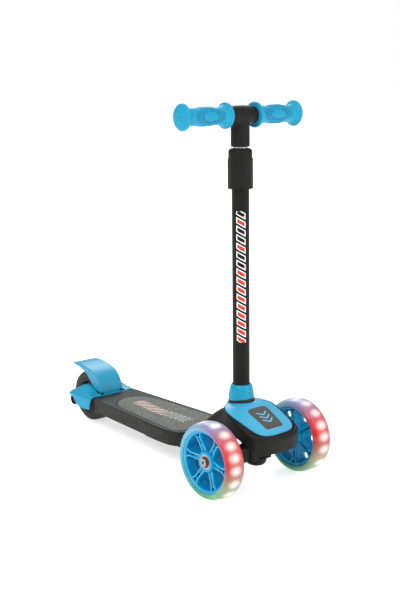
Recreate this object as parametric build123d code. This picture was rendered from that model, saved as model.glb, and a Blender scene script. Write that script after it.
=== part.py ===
from build123d import *
import math
import os

os.makedirs("parts", exist_ok=True)

# Three-wheel lean-to-steer kick scooter. Millimetres.
# Origin on the floor under the middle of the scooter. Forward is -Y, up is +Z,
# the rider's right is -X.

# ---------------------------------------------------------------- driving dimensions
FA = -213.0              # front axle line, Y
RA = 221.0               # rear axle line, Y

FW_R = 60.0              # front wheel radius
FW_X = 93.0              # front wheel mid plane
FT_W = 35.0              # front tyre width
FH_R = 48.9              # front hub rim radius
FH_W = 26.0              # front hub width

RW_R = 46.0              # rear wheel radius
RW_W = 34.0              # rear tyre width

BRG_OD = 22.0            # ball bearing outside diameter
BRG_W = 7.0
AXLE_R = 4.0             # M8 axle bolts
RUN = 0.05               # radial running clearance

LEAN_TUBE = 1.0314       # steering tube leans back by this many degrees
TUBE_R = 13.4            # outer tube outside radius
TUBE_RI = 11.9
IN_R = 11.0              # telescoping tube outside radius
IN_RI = 9.5
TUBE_Z0, TUBE_Z1 = 96.0, 504.0
CLAMP_Z0, CLAMP_Z1 = 462.0, 523.0
LEVER_Z1 = 507.6
TEE_Z0, BAR_Z = 525.2, 571.9
GRIP_X0, GRIP_X1 = 27.0, 118.2
FLANGE_R = 19.6
GRIP_R = 13.0
BAR_R = 9.5

PIVOT_Z = 54.0           # lean pivot axis height
KING_X = 56.0            # kingpin axes
ARM = 24.0               # steering arm length, kingpin to tie rod pin
ROD_Z0, ROD_Z1 = 32.5, 37.5
ROD_Z = (ROD_Z0 + ROD_Z1) / 2

DECK_Z0, DECK_Z1 = 36.0, 60.0

TUBE_Y0 = FA + 32.94     # steering tube axis where it meets the floor
T = Location((0, TUBE_Y0, 0), (-LEAN_TUBE, 0, 0))


# ---------------------------------------------------------------- helpers
def box(x0, x1, y0, y1, z0, z1):
    return Pos((x0 + x1) / 2, (y0 + y1) / 2, (z0 + z1) / 2) * Box(x1 - x0, y1 - y0, z1 - z0)


def cz(r, z0, z1, x=0.0, y=0.0):
    return Pos(x, y, (z0 + z1) / 2) * Cylinder(r, z1 - z0)


def cx(r, x0, x1, y=0.0, z=0.0):
    return Pos((x0 + x1) / 2, y, z) * Rot(0, 90, 0) * Cylinder(r, abs(x1 - x0))


def cy(r, y0, y1, x=0.0, z=0.0):
    return Pos(x, (y0 + y1) / 2, z) * Rot(90, 0, 0) * Cylinder(r, abs(y1 - y0))


def hexz(af, z0, z1, x=0.0, y=0.0, turn=0.0):
    return Pos(x, y, z0) * Rot(0, 0, turn) * extrude(RegularPolygon(af / 2, 6, major_radius=False), z1 - z0)


def rev_x(pts):
    """Solid of revolution about the X axis from (x, r) points."""
    return revolve(make_face(Polyline(*[(x, r) for x, r in pts], close=True)), Axis.X, 360)


def rev_z(pts):
    """Solid of revolution about the Z axis from (r, z) points."""
    return revolve(make_face(Polyline(*[(r, 0, z) for r, z in pts], close=True)), Axis.Z, 360)


def plan(pts, z0, z1):
    """Straight prism over an XY outline."""
    f = make_face(Polyline(*[(x, y, 0) for x, y in pts], close=True))
    return Pos(0, 0, z0) * extrude(f, z1 - z0)


def side(pts, x0, x1):
    """Straight prism over a YZ outline."""
    f = make_face(Polyline(*[(x0, y, z) for y, z in pts], close=True))
    s = extrude(f, x1 - x0, dir=(1, 0, 0))
    return s


def mirx(s):
    return mirror(s, Plane.YZ)


def soft(s, edges, r, what):
    """Round the given edges, smaller if the full radius has no room."""
    for k in (1.0, 0.6, 0.35):
        try:
            out = fillet(edges, r * k)
            if out.is_valid and out.volume > 0:
                return out
        except Exception:
            pass
    print("left sharp:", what)
    return s


def one(s, what):
    """The main solid; says so if crumbs were left beside it."""
    ss = sorted(s.solids(), key=lambda q: -q.volume)
    if len(ss) > 1:
        print("crumbs beside", what, [round(q.volume, 2) for q in ss])
    return ss[0]


def save(name, *solids):
    out = []
    for s in solids:
        out += list(s.solids())
    shape = out[0] if len(out) == 1 else Compound(out)
    export_step(shape, "parts/" + name + ".step")


def both(name, make):
    """The same piece for the rider's right (-X) and, mirrored, for the left (+X)."""
    r = make()
    save(name + "_right", r)
    save(name + "_left", mirx(r))


# ================================================================ telescoping handlebar
neck = cz(14.4, TEE_Z0, BAR_Z)
barrel = rev_x([(-GRIP_X0, 0), (-GRIP_X0, 13.0), (-21, 13.4), (-12, 14.8), (0, 15.1),
                (12, 14.8), (21, 13.4), (GRIP_X0, 13.0), (GRIP_X0, 0)])
tee = neck + Pos(0, 0, BAR_Z) * barrel
tee = soft(tee, [e for e in tee.edges() if e.geom_type not in (GeomType.LINE, GeomType.CIRCLE)
                 and e.center().Z < BAR_Z + 2 and e.center().Z > TEE_Z0 + 5], 7.0, "tee crotch")
tee = soft(tee, [e for e in tee.edges().filter_by(GeomType.CIRCLE)
                 if abs(e.center().Z - TEE_Z0) < 0.1], 1.2, "tee foot")
tee -= cz(IN_R, TEE_Z0 - 1, 547.0)
tee -= cx(BAR_R, -60, 60, 0, BAR_Z)
tee -= cy(2.0, 5, 20, 0, 534.0) + cy(3.5, 12.4, 20, 0, 534.0)
save("handlebar_tee", T * tee)

crossbar = cx(BAR_R, -112, 112, 0, BAR_Z) - cx(BAR_R - 1.5, -112, 112, 0, BAR_Z)
save("crossbar", T * crossbar)


def grip():
    prof = [(-GRIP_X0, BAR_R), (-GRIP_X0, 13.2), (-28.4, 13.4), (-28.4, 15.4), (-GRIP_X0 - 0.6, 16.2),
            (-GRIP_X0 - 0.6, 18.2), (-28.6, FLANGE_R - 0.2), (-30.6, FLANGE_R), (-32.0, FLANGE_R - 0.7),
            (-33.2, 17.6), (-34.2, 16.6), (-36.0, 15.3), (-39.0, 14.1), (-44.0, 13.3), (-52.0, 13.2),
            (-62.0, 13.6), (-72.0, 13.9), (-82.0, 13.8), (-92.0, 13.3), (-101.0, 13.0),
            (-105.2, 13.3), (-107.6, 14.6), (-109.2, 16.6), (-110.4, 18.7), (-111.6, FLANGE_R + 0.3),
            (-113.2, FLANGE_R + 0.3), (-114.8, 18.8), (-116.2, 14.8), (-117.5, 9.0), (-GRIP_X1, 0.0),
            (-112.0, 0.0), (-112.0, BAR_R)]
    g = rev_x(prof)
    g -= cx(1.0, -120, -111, 0, 0)
    return T * (Pos(0, 0, BAR_Z) * g)


both("grip", grip)

inner = cz(IN_R, 252.0, 547.0) - cz(IN_RI, 250.0, 548.0)
inner -= cy(2.0, 5, 14, 0, 534.0)
save("inner_tube", T * inner)
bush = cz(TUBE_RI - RUN, 246.0, 270.0) - cz(IN_R, 252.0, 271.0) - cz(IN_RI, 240.0, 260.0)
save("guide_bush", T * bush)
screw = cy(2.0, 6.5, 12.6, 0, 534.0) + cy(3.5, 12.4, 14.2, 0, 534.0)
screw -= Pos(0, 14.2, 534.0) * Rot(90, 0, 0) * Box(4.0, 0.9, 1.6) + Pos(0, 14.2, 534.0) * Rot(90, 0, 0) * Box(0.9, 4.0, 1.6)
save("tee_screw", T * screw)

# ================================================================ quick-release clamp
# Clamp frame: "back" is the direction 50 deg, the lever pin stands 94 deg further round.
BACK = 50.0
PIN_A = BACK + 94.0
PIN_R = 16.6
px, py = PIN_R * math.cos(math.radians(PIN_A)), PIN_R * math.sin(math.radians(PIN_A))


def sector(r, a0, a1, z0, z1):
    """Pie slice about the tube axis from angle a0 to a1."""
    n = 24
    pts = [(0, 0)] + [(r * math.cos(math.radians(a0 + (a1 - a0) * i / n)),
                       r * math.sin(math.radians(a0 + (a1 - a0) * i / n))) for i in range(n + 1)]
    return plan(pts, z0, z1)


collar = cz(18.2, CLAMP_Z0, CLAMP_Z1)
collar = soft(collar, [collar.edges().sort_by(Axis.Z)[-1]], 5.6, "clamp dome")
collar -= (sector(30, BACK - 99, PIN_A + 14, CLAMP_Z0 - 1, LEVER_Z1 + 0.3) - cz(15.7, CLAMP_Z0 - 2, LEVER_Z1 + 1))
collar -= cz(TUBE_R, CLAMP_Z0 - 1, TUBE_Z1)
collar -= cz(IN_R + RUN, TUBE_Z1 - 1, CLAMP_Z1 + 1)
# slit behind the lever, and the screw across it
collar -= Rot(0, 0, BACK) * box(8, 30, -1.0, 1.0, CLAMP_Z0 - 1, CLAMP_Z1 + 1)
SCZ = 513.4
cl_t = Rot(0, 0, BACK)
collar -= cl_t * (cy(1.5, -12, 12, 14.4, SCZ) + cy(3.0, 6.0, 20, 14.4, SCZ))
collar -= cl_t * (Pos(14.4, -13.0, SCZ) * Rot(90, 0, 0) * extrude(RegularPolygon(2.75, 6, major_radius=False), 7.0, both=True))
# hinge knuckle of the collar between the two knuckles of the lever
KZ0, KZ1 = 475.0, 493.0
collar -= cz(2.7, CLAMP_Z0 - 1, KZ0, px, py) + cz(2.7, KZ1, LEVER_Z1 + 0.3, px, py)
collar += cz(2.4, KZ0, KZ1, px, py) - cz(TUBE_R, KZ0 - 1, KZ1 + 1)
collar -= cz(1.3, CLAMP_Z0 - 1, LEVER_Z1 + 3.0, px, py)
# small raised arrow and the notch at the front lower edge
FRONT = BACK + 180.0
arrow = Rot(0, 0, FRONT) * (Pos(17.9, 0, 504.0) * Rot(0, 90, 0) * extrude(
    make_face(Polyline((2.2, -2.4), (-1.6, 0), (2.2, 2.4), (1.0, 0), close=True)), 0.5))
collar += arrow
collar -= Rot(0, 0, FRONT) * box(16.0, 20, -0.5, 0.5, CLAMP_Z0 - 1, CLAMP_Z0 + 4.0)
save("clamp_collar", T * collar)

lever = sector(30, BACK - 97, PIN_A, CLAMP_Z0 - 0.2, LEVER_Z1) & (cz(19.2, CLAMP_Z0 - 0.2, LEVER_Z1) - cz(16.0, 440, 520))
lever = soft(lever, lever.edges().filter_by(GeomType.CIRCLE).group_by(Axis.Z)[0]
             .sort_by(lambda e: -e.radius)[:1], 1.4, "lever foot")
lever += cz(2.4, CLAMP_Z0 + 0.4, LEVER_Z1 - 0.4, px, py)
lever -= cz(2.9, KZ0 - 0.3, KZ1 + 0.3, px, py)
lever -= cz(TUBE_R + 0.35, 440, 520)
lever -= cz(1.3 + RUN, 440, 520, px, py)
lever = one(lever, "clamp lever")
save("clamp_lever", T * lever)
save("lever_pin", T * cz(1.3, CLAMP_Z0 + 0.2, LEVER_Z1 + 2.6, px, py))
csc = cy(1.5, -10.8, 6.1, 14.4, SCZ) + cy(2.8, 6.0, 8.6, 14.4, SCZ)
csc -= Pos(14.4, 8.8, SCZ) * Box(1.0, 2.4, 4.2)
save("clamp_screw", T * (cl_t * csc))
cnut = cl_t * (Pos(14.4, -6.0, SCZ) * Rot(90, 0, 0) * extrude(RegularPolygon(2.7, 6, major_radius=False), 2.4))
cnut -= cl_t * cy(1.5, -12, 12, 14.4, SCZ)
save("clamp_nut", T * cnut)

# ================================================================ stem
BTN_Z = 141.0
stem = cz(TUBE_R, TUBE_Z0, TUBE_Z1) - cz(TUBE_RI, TUBE_Z0 - 1, TUBE_Z1 + 1)
stem -= cy(3.3, 5, 20, 0, BTN_Z)
save("outer_tube", T * stem)

# the collar's and the seal's lower faces tip 7 deg, higher at the front
TIP = 7.0


def below(z, deg):
    """Everything under a plane through the tube axis at z, tipped up towards the front."""
    return Pos(0, 0, z) * Rot(-deg, 0, 0) * box(-60, 60, -60, 60, -80, 0)


bell = rev_z([(TUBE_R, 155.7), (15.5, 155.7), (16.4, 154.4), (17.6, 151.6), (18.6, 148.0), (19.4, 143.6),
              (20.0, 139.0), (20.3, 134.0), (20.4, 120.0), (17.9, 120.0), (17.8, 134.0), (17.5, 139.0),
              (16.9, 143.6), (16.1, 148.4), (TUBE_R, 150.4)])
bell -= below(131.6, TIP)
bell -= cy(3.3, 10, 30, 0, BTN_Z)
save("stem_collar", T * bell)
seal = (cz(20.9, 120, 140) - cz(15.9, 119, 141)) - below(128.2, TIP)
seal &= below(131.6, TIP)
save("collar_seal", T * seal)

btn = cy(3.2, 8.4, 21.4, 0, BTN_Z)
btn = soft(btn, [btn.edges().sort_by(Axis.Y)[-1]], 1.2, "button nose")
btn += cy(4.6, 7.2, 8.6, 0, BTN_Z)
save("lock_button", T * btn)
# folded leaf spring in the tube that pushes the button out
spring = side([(7.1, 146), (7.1, 137), (-0.6, 109.6), (-3.4, 109.6), (-11.2, 137), (-11.2, 146), (-10.4, 146),
               (-10.4, 137.1), (-2.8, 110.5), (-1.2, 110.5), (6.3, 137.1), (6.3, 146)], -3.0, 3.0)
save("button_spring", T * spring)

# ================================================================ front housing with neck
def arch(y, w, zb, zs, zc):
    a, b, c, m, d = (-w, y, zb), (w, y, zb), (w, y, zs), (0, y, zc), (-w, y, zs)
    return Face(Wire([Line(a, b), Line(b, c), ThreePointArc(c, m, d), Line(d, a)]))


def outline(k):
    """Plan outline of the head, grown outwards by k from the cover's edge."""
    right = [(0, -52 - k), (20, -51 - k), (29, -48.2 - 0.9 * k), (35, -43 - 0.7 * k), (38.2 + 0.7 * k, -37 - 0.4 * k),
             (40.5 + k, -28), (42.2 + k, -17), (44.2 + k, -1), (45.2 + k, 10), (44.8 + k, 18),
             (42.4 + 0.9 * k, 25 + 0.5 * k), (36.6 + 0.7 * k, 33 + 0.7 * k), (28 + 0.5 * k, 40.5 + 0.8 * k),
             (20 + 0.4 * k, 47.6 + 0.9 * k), (10, 54.6 + k), (0, 56.8 + k)]
    pts = right + [(-x, y) for x, y in reversed(right[1:-1])]
    return [(x, y + FA) for x, y in pts]


def rounded_plan(k, z0, z1):
    pts = outline(k)
    f = make_face(Spline(*[(x, y, 0) for x, y in pts], periodic=True))
    return Pos(0, 0, z0) * extrude(f, z1 - z0)


# rim heights along Y, from the front axle line
RIM = [(-60, 92.5), (-52, 95.8), (-38, 100.6), (-17, 108.4), (-1, 114.4), (12, 119.0), (22, 121.4), (30, 122.4),
       (40, 122.0), (50, 120.4), (70, 115.0)]
LOW = [(80, 60), (62, 74), (45, 84), (30, 88.5), (12.8, 89.4), (-1, 88), (-21.4, 84.8), (-43.8, 76), (-50, 73.6), (-60, 72.4)]

head = rounded_plan(3.2, 60, 140)
head &= side([(y + FA, z) for y, z in RIM + LOW], -70, 70)
neck_secs = [arch(FA + 20, 43, 86, 104, 112), arch(FA + 40, 41.5, 82, 104, 120), arch(FA + 56, 41, 72, 92, 116.4),
             arch(FA + 80, 43, 57, 75, 103.6), arch(FA + 104, 47, 44, 60, 80), arch(FA + 120, 50.5, 38, 57.2, 62.6),
             arch(FA + 130, 52, 36.6, 56.4, 58.2)]
neck_body = loft(neck_secs)
inner_secs = [arch(FA + 16, 40, 70, 100, 108), arch(FA + 40, 38.5, 70, 100, 115.5), arch(FA + 56, 38, 60, 88, 112.5),
              arch(FA + 80, 40, 45, 71, 99.5), arch(FA + 104, 44, 32, 55.5, 75.5), arch(FA + 120, 47, 26, 52.5, 59)]
neck_void = loft(inner_secs)
head_void = rounded_plan(0.0, 50, 140)
head_void &= side([(y + FA, z - 3.4) for y, z in RIM] + [(y + FA, 55) for y in (90, -70)], -70, 70)
head_void -= box(-80, 80, FA + 52, FA + 120, 0, 200)
housing = head + neck_body
housing -= head_void
housing -= neck_void
# pedestal down to the lean pivot, with a tongue that stands in the truck
ped = cz(22.0, 76.0, 110.0, 0, FA - 5)
ped = soft(ped, [ped.edges().sort_by(Axis.Z)[0]], 2.0, "pedestal foot")
tongue = side([(FA - 6, 42), (FA + 6, 42), (FA + 6, 80), (FA - 6, 80)], -18, 18)
tongue &= (cy(12.0, FA - 10, FA + 10, 0, PIVOT_Z)
           + box(-10.2, 10.2, FA - 10, FA + 10, PIVOT_Z, 80))
housing += (ped + tongue) & side([(y + FA, z - 1.0) for y, z in RIM] + [(FA + 90, 30), (FA - 70, 30)], -70, 70)
housing -= cy(5.0, FA - 8, FA + 8, 0, PIVOT_Z)
# socket for the stem, closed below
sock = cz(17.2, 90.0, 120.0) + cz(15.9, 115.0, 147.0)
seat = (cz(20.9, 112, 140) & below(128.2, TIP))
housing += T * (sock + seat)
# web from the socket back into the neck and forward to the pedestal
housing += box(-1.6, 1.6, FA + 14, FA + 18.5, 92, 108)
housing -= T * (cz(TUBE_R, TUBE_Z0, 200))
housing -= T * cy(3.3, 5, 30, 0, BTN_Z)
housing -= T * (cz(60, 147.0, 200))
# recess for the blue cover, leaving a 3 mm rim round it
recess = rounded_plan(0.45, 60, 150)
recess &= side([(y + FA, z - 2.6) for y, z in RIM] + [(y + FA, 160) for y in (90, -70)], -70, 70)
recess -= T * cz(21.2, 60, 200)
housing -= recess
# foot that goes under the deck's front, with four screw holes
foot = box(-40, 40, FA + 131, FA + 168, 37.0, 41.0) + box(-46, 46, FA + 118, FA + 139.8, 36.8, 41.0)
housing += foot
DS = [(-30, FA + 152), (30, FA + 152), (-12, FA + 160), (12, FA + 160)]
for x, y in DS:
    housing -= cz(2.0, 30, 45, x, y)
# steering ball pin hole in the socket's floor
BALL_Y = FA + ARM
housing -= cz(2.6, 80, 95.9, 0, BALL_Y)
CS = [(-30, FA - 30), (30, FA - 30), (-32, FA + 22), (32, FA + 22)]
for x, y in CS:
    housing -= cz(1.6, 60, 140, x, y)
housing = one(housing, "front housing")
save("front_housing", housing)

# crowned blue cover in the recess, hollow underneath
CROWN = [(-64, 91.0, 92.5), (-52, 96.0, 97.6), (-38, 101.0, 105.5), (-17, 108.8, 116.2), (0, 115.0, 124.2), (14, 119.8, 129.6),
         (28, 122.6, 129.8), (42, 122.2, 127.8), (56, 119.6, 123.4), (76, 113.0, 116.0)]


def crown(dz, dw=0.0):
    secs = []
    for y, ze, zc in CROWN:
        w = 46.0
        secs.append(Face(Wire([Line((-w, FA + y, 60), (w, FA + y, 60)), Line((w, FA + y, 60), (w, FA + y, ze + dz)),
                               ThreePointArc((w, FA + y, ze + dz), (0, FA + y, zc + dz), (-w, FA + y, ze + dz)),
                               Line((-w, FA + y, ze + dz), (-w, FA + y, 60))])))
    return loft(secs)


floor_cut = side([(y + FA, z - 2.6) for y, z in RIM] + [(FA + 90, 40), (FA - 70, 40)], -80, 80)
cover = (crown(0.0) & rounded_plan(0.0, 60, 150)) - floor_cut
cover -= T * cz(21.3, 60, 200)
hollow = (crown(-2.6) & rounded_plan(-2.6, 60, 150)) - T * cz(23.9, 60, 200)
posts = None
for x, y in CS:
    p = cz(4.0, 60, 150, x, y)
    posts = p if posts is None else posts + p
hollow -= posts
cover -= hollow
for x, y in CS:
    cover -= cz(1.3, 60, 106 if y < FA else 124.7, x, y)
# badge seat: rounded trapezoid pressed 0.8 mm into the crown
BADGE = [(-14.5, -42), (14.5, -42), (17.5, -38.5), (20.0, -4), (17.0, 0.8), (-17.0, 0.8), (-20.0, -4), (-17.5, -38.5)]
bp = plan([(x, y + FA) for x, y in BADGE], 60, 150)
bp = fillet(bp.edges().filter_by(Axis.Z), 2.2)
badge = (bp & crown(0.0)) - crown(-0.9)
seat_p = plan([(x * 1.02, (y + 20) * 1.02 - 20 + FA) for x, y in BADGE], 60, 150)
seat_p = fillet(seat_p.edges().filter_by(Axis.Z), 2.2)
cover -= (seat_p - crown(-0.9)) & side([(FA - 60, 80), (FA + 20, 80), (FA + 20, 160), (FA - 60, 160)], -40, 40)
cover = one(cover, "front cover")
badge = one(badge, "badge")
save("front_cover", cover)
save("badge_plate", badge)


def rim_z(y):
    for (y0, z0), (y1, z1) in zip(RIM, RIM[1:]):
        if y0 <= y <= y1:
            return z0 + (z1 - z0) * (y - y0) / (y1 - y0)


cs = []
for x, y in CS:
    z = rim_z(y - FA) - 2.6
    cs.append(cz(1.3, z - 4.0, z + 4.2, x, y) + cz(2.9, z - 7.2, z - 5.0, x, y) + cz(1.3, z - 6, z - 3, x, y))
save("cover_screws", *cs)

# ball pin that the tie rod follows
ball = cz(2.6, ROD_Z + 1.0, 95.9, 0, BALL_Y) + Pos(0, BALL_Y, ROD_Z) * Sphere(3.2)
save("steering_ball_pin", ball)

# ================================================================ lean truck
hub_blk = box(-23, 23, FA - 14, FA + 14, 42.5, 67.0)
hub_blk = soft(hub_blk, hub_blk.edges().filter_by(Axis.Z), 6.0, "truck hub corners")
bowl = cz(16.4, 32.4, 46.0, 0, FA)
bowl = soft(bowl, [bowl.edges().sort_by(Axis.Z)[0]], 8.0, "truck bowl")
arms = side([(FA - 9, 42.6), (FA + 9, 42.6), (FA + 9, 69.5), (FA - 9, 69.5)], -44, 44)
arms = soft(arms, arms.edges().filter_by(Axis.X), 3.0, "truck arms")
arms -= box(-18, 18, FA - 20, FA + 20, 60, 80)
bosses = cz(8.6, 48.4, 65.0, -KING_X, FA) + cz(8.6, 48.4, 65.0, KING_X, FA)
web = box(-KING_X, KING_X, FA - 7.5, FA + 7.5, 48.4, 65.0)
truck = hub_blk + bowl + arms + bosses + web
truck -= side([(FA - 6.4, 38), (FA + 6.4, 38), (FA + 6.4, 90), (FA - 6.4, 90)], -20, 20) & (
    cy(12.5, FA - 10, FA + 10, 0, PIVOT_Z)
    + side([(FA - 10, PIVOT_Z), (FA + 10, PIVOT_Z), (FA + 10, 90), (FA - 10, 90)], -12.5, 12.5)
    + plan([(-12.5, FA - 10), (12.5, FA - 10), (12.5, FA + 10), (-12.5, FA + 10)], PIVOT_Z, 60)
    + box(-19, 19, FA - 10, FA + 10, 60, 90))
truck -= cy(5.0 + RUN, FA - 12.6, FA + 20, 0, PIVOT_Z)
truck -= cy(7.5, FA + 9.5, FA + 20, 0, PIVOT_Z)
truck -= cy(7.5, FA - 11, FA - 6, 0, PIVOT_Z) + cy(7.5, FA + 6, FA + 9.6, 0, PIVOT_Z)
for s in (-1, 1):
    truck -= cz(4.0, 40, 80, s * KING_X, FA)
truck = one(truck, "truck")
save("truck_beam", truck)
# pivot bolt: fixed in the tongue, the truck and its bushings turn on it
bolt = cy(5.0, FA - 12.4, FA + 10.0, 0, PIVOT_Z) + cy(7.0, FA + 9.9, FA + 13.0, 0, PIVOT_Z)
bolt -= Pos(0, FA + 13.0, PIVOT_Z) * Rot(90, 0, 0) * extrude(RegularPolygon(2.5, 6, major_radius=False), 2.4, both=True)
save("lean_pivot_bolt", bolt)
bs = []
for y0, y1 in ((FA - 11.0, FA - 6.4), (FA + 6.4, FA + 9.5)):
    bs.append(cy(7.5, y0, y1, 0, PIVOT_Z) - cy(5.0 + RUN, y0 - 1, y1 + 1, 0, PIVOT_Z))
save("lean_bushings", *bs)

# kingpins: pressed in the truck's bosses, headed above and riveted below the knuckles
save("kingpins", *[cz(4.0, 44.4, 71.4, s * KING_X, FA) + cz(6.2, 71.1, 73.2, s * KING_X, FA)
                   + cz(5.4, 42.6, 44.7, s * KING_X, FA) for s in (-1, 1)])


# ---------------------------------------------------------------- knuckle (rider's right, -X)
def knuckle():
    k = cz(9.0, 45.0, 48.0, -KING_X, FA) + box(-72, -KING_X, FA - 9, FA + 9, 45.0, 48.0)
    k += cz(9.0, 65.4, 70.8, -KING_X, FA) + box(-72, -KING_X, FA - 9, FA + 9, 65.4, 70.8)
    k += box(-72, -65.4, FA - 11, FA + 11, 45.0, 74.0)
    k = soft(k, [e for e in k.edges().filter_by(Axis.X) if e.center().X < -65 and abs(e.center().Y - FA) > 10.5],
             4.0, "knuckle web corners")
    k += cx(9.5, -72, -65.4, FA, 60)
    # steering arm to the rear, dropping to the tie rod
    k += plan([(-KING_X - 6, FA + 3), (-66, FA + 8), (-KING_X - 6, FA + ARM + 2), (-KING_X + 5, FA + ARM), (-KING_X + 5, FA + 8.8)],
              41.0, 48.0) - cz(8.9, 40.9, 45.0, -KING_X, FA)
    k += cz(5.6, ROD_Z1 + 0.4, 48.0, -KING_X, FA + ARM)
    k -= box(-KING_X - 12, -KING_X + 12, FA - 12, FA + 7.0, 36, 45.0)
    k -= cz(4.0 + RUN, 40, 80, -KING_X, FA)
    k -= cz(2.5, 30, 47.0, -KING_X, FA + ARM)
    k -= cx(AXLE_R, -80, -66.4, FA, 60)
    # clearance round the beam boss
    k -= cz(9.2, 48.0, 65.4, -KING_X, FA)
    return one(k, "knuckle")


both("steering_knuckle", knuckle)


def rod_pin():
    return (cz(2.5, ROD_Z0 - 0.6, 46.0, -KING_X, FA + ARM) + cz(4.4, ROD_Z0 - 2.8, ROD_Z0 - 0.3, -KING_X, FA + ARM)
            - hexz(3.0, ROD_Z0 - 3.4, ROD_Z0 - 1.5, -KING_X, FA + ARM))


both("tie_rod_pin", rod_pin)

RY = FA + ARM
rod = box(-KING_X, KING_X, RY - 2.6, RY + 2.6, ROD_Z0, ROD_Z1)
rod += cz(5.6, ROD_Z0, ROD_Z1, -KING_X, RY) + cz(5.6, ROD_Z0, ROD_Z1, KING_X, RY)
fork = box(-8, 8, RY - 6.4, RY + 6.0, ROD_Z0, ROD_Z1)
fork = soft(fork, fork.edges().filter_by(Axis.Z), 2.0, "fork corners")
rod += fork
rod -= box(-3.6, 3.6, RY - 0.6, RY + 8.0, ROD_Z0 - 1, ROD_Z1 + 1) + cz(3.6, ROD_Z0 - 1, ROD_Z1 + 1, 0, RY - 0.6)
rod -= cz(2.5 + RUN, 20, 50, -KING_X, RY) + cz(2.8, 20, 50, KING_X, RY)
save("tie_rod", rod)


# ================================================================ front wheels (rider's right, -X)
def W(s):
    return Pos(-FW_X, FA, FW_R) * s


BX0 = 12.5                        # outer ends of the bearings, from the wheel's mid plane


def front_hub():
    rim = rev_x([(-13, 44.6), (-12.2, FH_R), (-8, FH_R - 0.0), (8, FH_R), (12.2, FH_R), (13, 44.6), (9, 43.4), (-9, 43.4)])
    boss = cx(16.0, -13, 13)
    web_d = cx(44.0, -2.2, 2.2)
    h = rim + boss + web_d
    for i in range(6):
        a = -5 + 60 * i
        sp = box(-10.5, 10.5, 14, 44.5, -4.2, 4.2)
        h += Rot(a, 0, 0) * sp
    for i in range(6):
        a = 25 + 60 * i
        h -= Rot(a, 0, 0) * (Pos(0, 35.5, 0) * Rot(0, 90, 0) * Cylinder(5.0, 40))
    h -= cx(BRG_OD / 2, -14, -BX0 + BRG_W) + cx(BRG_OD / 2, BX0 - BRG_W, 14)
    h -= cx(9.6, -14, 14)
    return W(h)


def led_shape():
    ring = cx(51.2, -4.5, 4.5) - cx(FH_R, -5, 5)
    for i in range(15):
        a = -2 + 24 * i
        ring += Rot(a, 0, 0) * box(-2.2, 2.2, 50.6, 53.2, -2.2, 2.2)
    return ring


def led_ring():
    return W(led_shape())


TYRE = [(-15.6, 46.2), (-17.2, 48.2), (-17.5, 50.8), (-16.9, 53.6), (-15.0, 56.4), (-11.8, 58.5), (-7.0, 59.65),
        (0.0, 60.0), (7.0, 59.65), (11.8, 58.5), (15.0, 56.4), (16.9, 53.6), (17.5, 50.8), (17.2, 48.2), (15.6, 46.2),
        (13.05, 45.6), (12.2, FH_R), (-12.2, FH_R), (-13.05, 45.6)]


def front_tyre():
    # crown and shoulders as one smooth curve over the bead
    crown_c = Spline(*[(x, r) for x, r in TYRE[0:15]])
    rest = Polyline(TYRE[14], TYRE[15], TYRE[16], TYRE[17], TYRE[18], TYRE[0])
    t = revolve(make_face([crown_c.edge()] + list(rest.edges())), Axis.X, 360)
    t -= led_shape()
    return W(one(t, "front tyre"))


def bearing(x0, x1, r0, ro=BRG_OD / 2):
    b = cx(ro, x0, x1) - cx(r0, x0 - 1, x1 + 1)
    g = (cx(9.0, x0 - 1, x0 + 0.5) - cx(6.0, x0 - 2, x0 + 2)) + (cx(9.0, x1 - 0.5, x1 + 1) - cx(6.0, x1 - 2, x1 + 2))
    return b - g


def front_bearings():
    return Compound([W(bearing(-BX0, -BX0 + BRG_W, AXLE_R + RUN)).solids()[0],
                     W(bearing(BX0 - BRG_W, BX0, AXLE_R + RUN)).solids()[0]])


def magnet():
    return W(cx(8.8, -5.0, 5.0) - cx(AXLE_R, -6, 6))


def axle_bolt():
    a = cx(AXLE_R, -106.0, -66.6, FA, FW_R) + cx(6.4, -110.0, -105.9, FA, FW_R)
    a -= Pos(-110.0, FA, FW_R) * Rot(0, 90, 0) * extrude(RegularPolygon(2.5, 6, major_radius=False), 2.6, both=True)
    return a


def axle_spacer():
    return cx(6.4, -80.1, -72.0, FA, FW_R) - cx(AXLE_R, -90, -60, FA, FW_R)


both("front_hub", front_hub)
both("led_ring", led_ring)
both("front_tyre", front_tyre)
both("front_bearings", front_bearings)
both("magnet_core", magnet)
both("front_axle_bolt", axle_bolt)
both("axle_spacer", axle_spacer)

# ================================================================ deck
DECK = [(0, 120), (34, 122.5), (40, 125.5), (47, 131), (53, 139), (56.4, 149), (57.8, 163), (58, 185),
        (54.5, 255), (51, 320), (48.2, 378)]


def deck_plan(k, z0, z1, tail):
    r = [(x - k if i else 0, y + (k if i < 5 else 0)) for i, (x, y) in enumerate(DECK)]
    if tail > 378.5:
        r += [(48.2 - k, tail)]
    pts = r + [(-x, y) for x, y in reversed(r[1:])]
    return plan([(x, y + FA) for x, y in pts], z0, z1)


deck = deck_plan(0.0, DECK_Z0, DECK_Z1, 379.6)
deck = soft(deck, deck.edges().filter_by(Axis.Z), 4.0, "deck corners")
deck = soft(deck, [e for e in deck.edges() if abs(e.center().Z - DECK_Z1) < 0.01 and e.center().Y < FA + 379], 2.0, "deck top edge")
deck -= deck_plan(3.4, DECK_Z0 - 1, DECK_Z1 - 4.0, 378.0)
for y in (137, 172, 208, 244, 280, 316, 352):
    deck += box(-48, 48, FA + y - 1.2, FA + y + 1.2, DECK_Z1 - 7.4, DECK_Z1 - 3) & deck_plan(1.0, 0, 100, 380)
for x in (-27, 0, 27):
    deck += box(x - 1.2, x + 1.2, FA + 170, FA + 378, DECK_Z1 - 7.4, DECK_Z1 - 3)
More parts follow.
